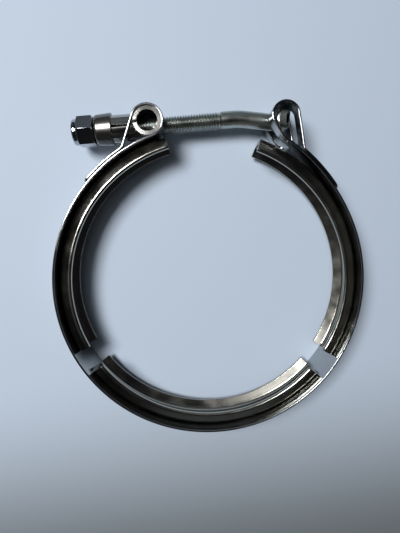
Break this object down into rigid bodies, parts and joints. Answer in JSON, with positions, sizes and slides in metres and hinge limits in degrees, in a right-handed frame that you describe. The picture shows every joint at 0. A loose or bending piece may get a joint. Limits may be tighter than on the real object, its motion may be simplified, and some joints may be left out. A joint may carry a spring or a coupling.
{
  "type": "v band clamp",
  "caption": "Round strap clamp that draws V-section segments over two pipe flanges with a swivelling cross-head bolt and a lock nut.",
  "frame": {"origin": "on the ring's axis, half way up the strap's width", "axes": "+Z along the ring's axis; the bolt's straight shank lies along X on the +Y side, with the nut towards -X"},
  "size_m": [0.113, 0.1215, 0.019],
  "materials": {
    "strap": "polished",
    "retainer": "satin",
    "trunnion": "polished",
    "cap": "polished",
    "bolt": "satin",
    "nut": "plated",
    "insert": "moulded"
  },
  "bodies": {
    "band": {"strap": "strap", "retainer_left": "retainer", "retainer_bottom": "retainer", "retainer_right": "retainer"},
    "latch": {"trunnion": "trunnion", "t_bolt": "bolt"},
    "cap": {"thrust_cap": "cap"},
    "nut": {"lock_nut": "nut", "nut_insert": "insert"}
  },
  "joints": [
    {"name": "trunnion_pivot", "type": "hinge", "parent": "band", "child": "latch", "pos_m": [-0.01674, 0.05918, 0], "axis": [0, 0, 1], "range_deg": [-0.3, 1.2]},
    {"name": "cap_slide", "type": "slide", "parent": "latch", "child": "cap", "axis": [-1, 0, 0], "range_m": [0, 0.006]},
    {"name": "nut_turn", "type": "hinge", "parent": "cap", "child": "nut", "pos_m": [-0.0404, 0.05918, 0], "axis": [-1, 0, 0], "range_deg": [0, 2160]}
  ],
  "couplings": [
    {"joint": "nut_turn", "follows": "cap_slide", "rad_per_m": 6283.2}
  ]
}
